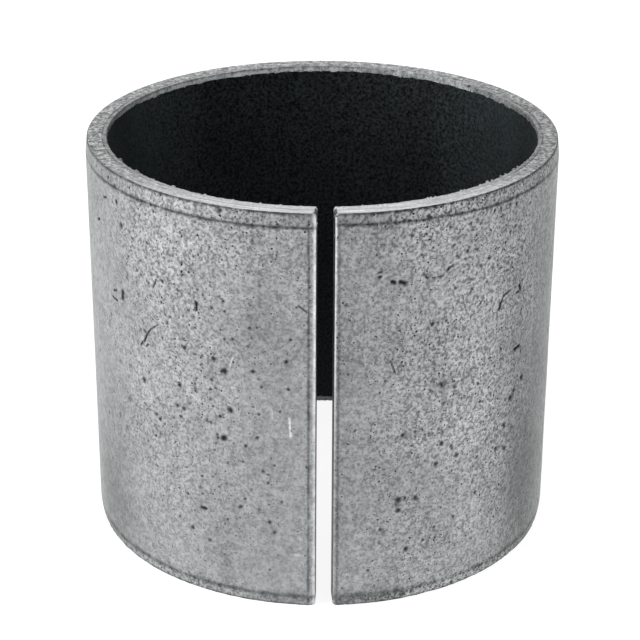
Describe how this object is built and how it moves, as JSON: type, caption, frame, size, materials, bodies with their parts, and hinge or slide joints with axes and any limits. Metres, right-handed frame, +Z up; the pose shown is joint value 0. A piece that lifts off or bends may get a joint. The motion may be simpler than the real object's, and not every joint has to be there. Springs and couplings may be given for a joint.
{
  "type": "sleeve bearing",
  "caption": "Split sleeve bearing rolled from steel strip, with a thin sintered layer, a dark sliding lining and an open butt joint along its length.",
  "frame": {"origin": "centre of the lower end face, on the axis of the bore", "axes": "+Z up along the bore, -Y towards the butt joint, +X to the right when the joint is seen from outside"},
  "size_m": [0.044, 0.044, 0.0382],
  "materials": {
    "steel": "dull grey, finely speckled, pitted and scratched",
    "sinter": "light grey porous sintered metal, seen as a thin band on the end faces",
    "lining": "near-black, dull, faintly mottled"
  },
  "bodies": {
    "root": {"steel_back": "steel", "sintered_layer": "sinter", "sliding_lining": "lining"}
  },
  "joints": []
}
